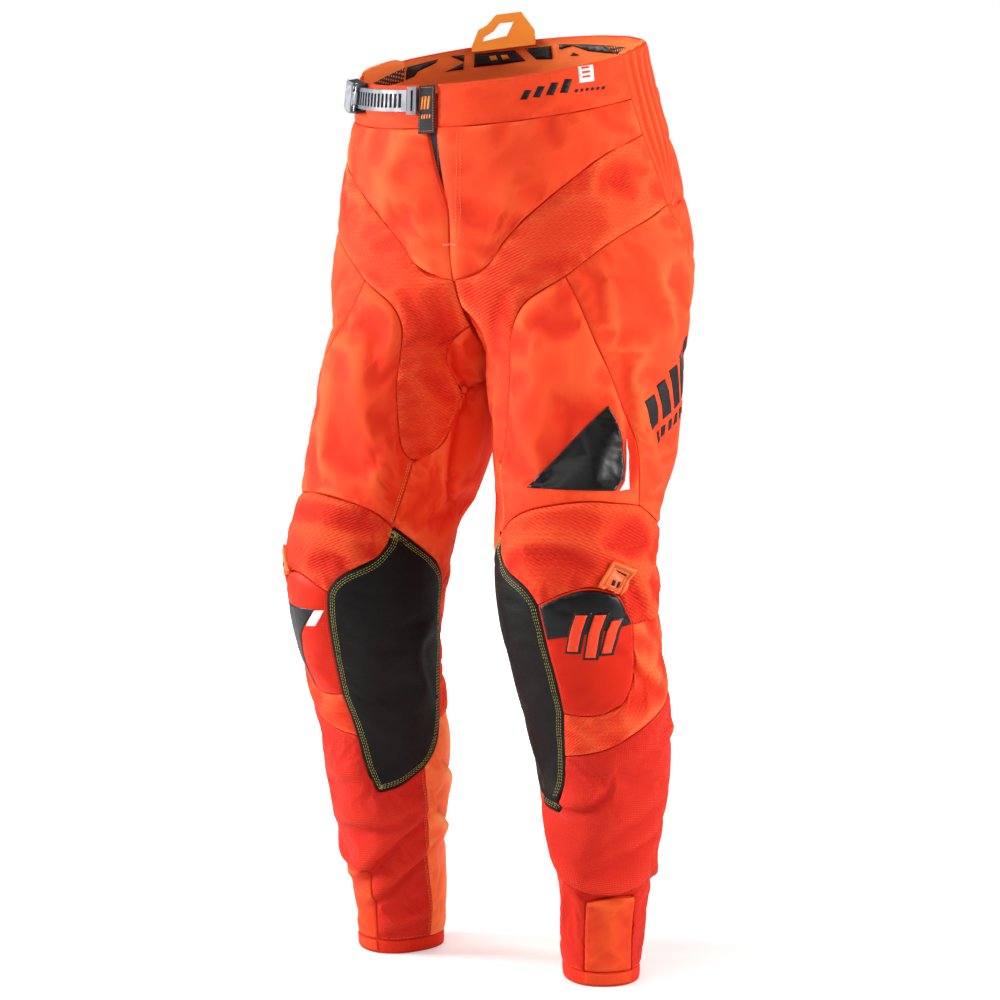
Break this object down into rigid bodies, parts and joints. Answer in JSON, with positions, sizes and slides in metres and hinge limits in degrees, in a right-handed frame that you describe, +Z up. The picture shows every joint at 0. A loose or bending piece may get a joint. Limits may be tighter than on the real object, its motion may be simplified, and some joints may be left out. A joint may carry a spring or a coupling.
{
  "type": "motocross riding trousers",
  "caption": "Off-road riding trousers sewn from shaped panels, with a knee panel and leather inner-knee patch on each leg, a ratchet waist closure and a zip fly.",
  "frame": {"origin": "on the middle plane between the legs, at the height of the hems, under the middle of the bounding box", "axes": "+Z up to the waist, -Y is the front, +X is the wearer's left"},
  "size_m": [0.4074, 0.307, 1.0132],
  "materials": {
    "shell_fabric": "plain woven polyester, matt",
    "stretch_rib": "ribbed four-way stretch knit, matt",
    "vent_mesh": "fine vertical rib mesh, matt",
    "calf_fabric": "light stretch knit, matt",
    "hem_fabric": "turned hem, matt",
    "knee_cup_skin": "smooth coated knee skin, satin, with a gloss black print",
    "leather": "fine-grained black leather, satin",
    "liner_mesh": "open inner mesh",
    "badge_rubber": "moulded rubber, satin",
    "grip_silicone": "silicone print, satin",
    "loop_rubber": "moulded rubber, satin",
    "black_tape": "woven tape, matt",
    "zip_teeth": "moulded teeth",
    "zip_metal": "painted die-cast metal",
    "strap_plastic": "moulded grey nylon, satin",
    "buckle_metal": "dark painted steel",
    "lever_metal": "brushed, silver",
    "pin_steel": "plain steel"
  },
  "bodies": {
    "waist": {"hip_stretch_band_left": "stretch_rib", "hip_stretch_band_right": "stretch_rib", "crotch_gusset_left": "shell_fabric", "crotch_gusset_right": "shell_fabric", "seat_panel_left": "shell_fabric", "seat_panel_right": "shell_fabric", "side_pleat_panel_left": "shell_fabric", "side_pleat_panel_right": "shell_fabric", "front_panel_left": "shell_fabric", "front_panel_right": "shell_fabric", "waistband_front_left": "shell_fabric", "waistband_front_right": "shell_fabric", "waistband_back": "shell_fabric", "rear_stretch_yoke": "stretch_rib", "waist_grip_strip": "grip_silicone", "hang_loop": "loop_rubber", "fly_guard": "black_tape", "zip_tape_left": "black_tape", "zip_tape_right": "black_tape", "zip_chain": "zip_teeth", "strap_webbing": "black_tape", "patch_tab": "black_tape", "buckle_base": "buckle_metal", "lever_pin": "pin_steel", "pawl_pin": "pin_steel", "pawl_spring": "pin_steel"},
    "left_thigh": {"thigh_front_left": "shell_fabric", "thigh_side_left": "shell_fabric", "thigh_back_left": "shell_fabric", "thigh_liner_left": "liner_mesh", "knee_badge_left": "badge_rubber"},
    "left_shin": {"knee_stretch_panel_left": "stretch_rib", "knee_cup_left": "knee_cup_skin", "shin_stretch_band_left": "stretch_rib", "inner_knee_leather_left": "leather", "knee_back_stretch_left": "stretch_rib", "shin_mesh_panel_left": "vent_mesh", "calf_panel_left": "calf_fabric", "cuff_insert_left": "vent_mesh", "hem_left": "hem_fabric"},
    "right_thigh": {"thigh_front_right": "shell_fabric", "thigh_side_right": "shell_fabric", "thigh_back_right": "shell_fabric", "thigh_liner_right": "liner_mesh", "knee_badge_right": "badge_rubber"},
    "right_shin": {"knee_stretch_panel_right": "stretch_rib", "knee_cup_right": "knee_cup_skin", "shin_stretch_band_right": "stretch_rib", "inner_knee_leather_right": "leather", "knee_back_stretch_right": "stretch_rib", "shin_mesh_panel_right": "vent_mesh", "calf_panel_right": "calf_fabric", "cuff_insert_right": "vent_mesh", "hem_right": "hem_fabric"},
    "lever": {"buckle_lever": "lever_metal"},
    "pawl": {"buckle_pawl": "buckle_metal"},
    "strap": {"ladder_strap": "strap_plastic", "strap_end_frame": "strap_plastic"},
    "slider": {"zip_slider": "zip_metal"},
    "pull": {"zip_pull": "zip_metal"}
  },
  "joints": [
    {"name": "left_hip", "type": "hinge", "parent": "waist", "child": "left_thigh", "pos_m": [0.1, -0.01073, 0.59], "axis": [-1, 0, 0], "range_deg": [-10, 45], "deforming": ["hip_stretch_band_left", "crotch_gusset_left", "thigh_front_left", "thigh_side_left", "thigh_back_left"]},
    {"name": "left_knee", "type": "hinge", "parent": "left_thigh", "child": "left_shin", "pos_m": [0.1204, -0.06073, 0.375], "axis": [0.9903, 0.1392, 0], "range_deg": [-20, 60], "deforming": ["knee_stretch_panel_left", "knee_cup_left", "shin_stretch_band_left", "inner_knee_leather_left", "knee_back_stretch_left"]},
    {"name": "right_hip", "type": "hinge", "parent": "waist", "child": "right_thigh", "pos_m": [-0.1, -0.01073, 0.59], "axis": [-1, 0, 0], "range_deg": [-10, 45], "deforming": ["hip_stretch_band_right", "crotch_gusset_right", "thigh_front_right", "thigh_side_right", "thigh_back_right"]},
    {"name": "right_knee", "type": "hinge", "parent": "right_thigh", "child": "right_shin", "pos_m": [-0.1204, -0.06073, 0.375], "axis": [0.9903, -0.1392, 0], "range_deg": [-20, 60], "deforming": ["knee_stretch_panel_right", "knee_cup_right", "shin_stretch_band_right", "inner_knee_leather_right", "knee_back_stretch_right"]},
    {"name": "lever", "type": "hinge", "parent": "waist", "child": "lever", "pos_m": [-0.12373, -0.08354, 0.90236], "axis": [0.1936, -0.0927, 0.9767], "range_deg": [0, 70]},
    {"name": "pawl", "type": "hinge", "parent": "waist", "child": "pawl", "pos_m": [-0.14462, -0.06025, 0.90995], "axis": [-0.2275, 0.1472, -0.9626], "range_deg": [0, 8], "deforming": ["pawl_spring"]},
    {"name": "strap_travel", "type": "hinge", "parent": "waist", "child": "strap", "pos_m": [-0.01105, 0.04938, 0.8932], "axis": [-0.1502, 0.0571, -0.987], "range_deg": [-2, 2.5], "deforming": ["strap_webbing"]},
    {"name": "zip_travel", "type": "slide", "parent": "waist", "child": "slider", "axis": [-0.0003, 0.0679, -0.9977], "range_m": [0, 0.075], "deforming": ["zip_chain", "zip_tape_left", "zip_tape_right", "front_panel_left", "front_panel_right"]},
    {"name": "pull_swing", "type": "hinge", "parent": "slider", "child": "pull", "pos_m": [-0.00395, -0.11442, 0.84556], "axis": [-1, 0, 0], "range_deg": [0, 8], "deforming": ["front_panel_left"]}
  ],
  "couplings": [
    {"joint": "pawl", "follows": "lever", "ratio": 0.1}
  ]
}
